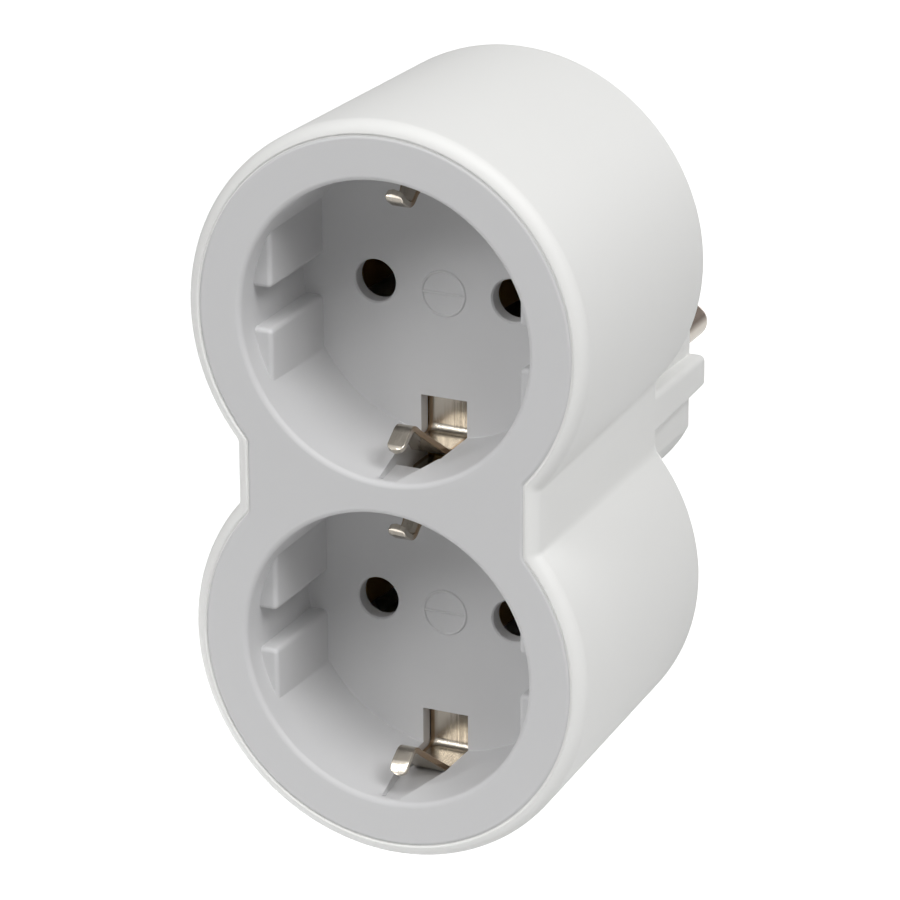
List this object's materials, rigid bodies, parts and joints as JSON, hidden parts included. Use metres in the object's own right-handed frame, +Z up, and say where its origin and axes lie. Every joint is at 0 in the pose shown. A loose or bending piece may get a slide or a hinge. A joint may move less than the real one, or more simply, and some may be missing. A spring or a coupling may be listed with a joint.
{
  "type": "multi socket adapter",
  "caption": "Plug-in adapter: a figure-of-eight housing with a round pinned plug at the back and earthed socket wells one above the other in a flat face.",
  "frame": {"origin": "middle of the plug face, between the two plug pins", "axes": "+Y along the plug pins into the wall, so the sockets face -Y; +Z up from the lower socket to the upper; +X to the right seen from the front"},
  "size_m": [0.0542, 0.0785, 0.0976],
  "materials": {
    "white_plastic": "satin white moulded plastic",
    "grey_plastic": "satin light grey moulded plastic",
    "nickel": "bright nickel plate on brass",
    "brass": "bare rolled brass",
    "zinc_steel": "zinc plated"
  },
  "bodies": {
    "root": {"housing": "white_plastic", "face_insert": "grey_plastic", "live_plug_pin": "nickel", "neutral_plug_pin": "nickel", "live_contact_bar": "brass", "neutral_contact_bar": "brass", "upper_live_contact": "brass", "lower_live_contact": "brass", "upper_neutral_contact": "brass", "lower_neutral_contact": "brass", "contact_rivets": "brass", "upper_earth_bracket": "nickel", "lower_earth_bracket": "nickel", "earth_bar": "brass", "plug_earth_bow": "nickel", "earth_rivets": "brass", "case_screws": "zinc_steel"}
  },
  "joints": []
}
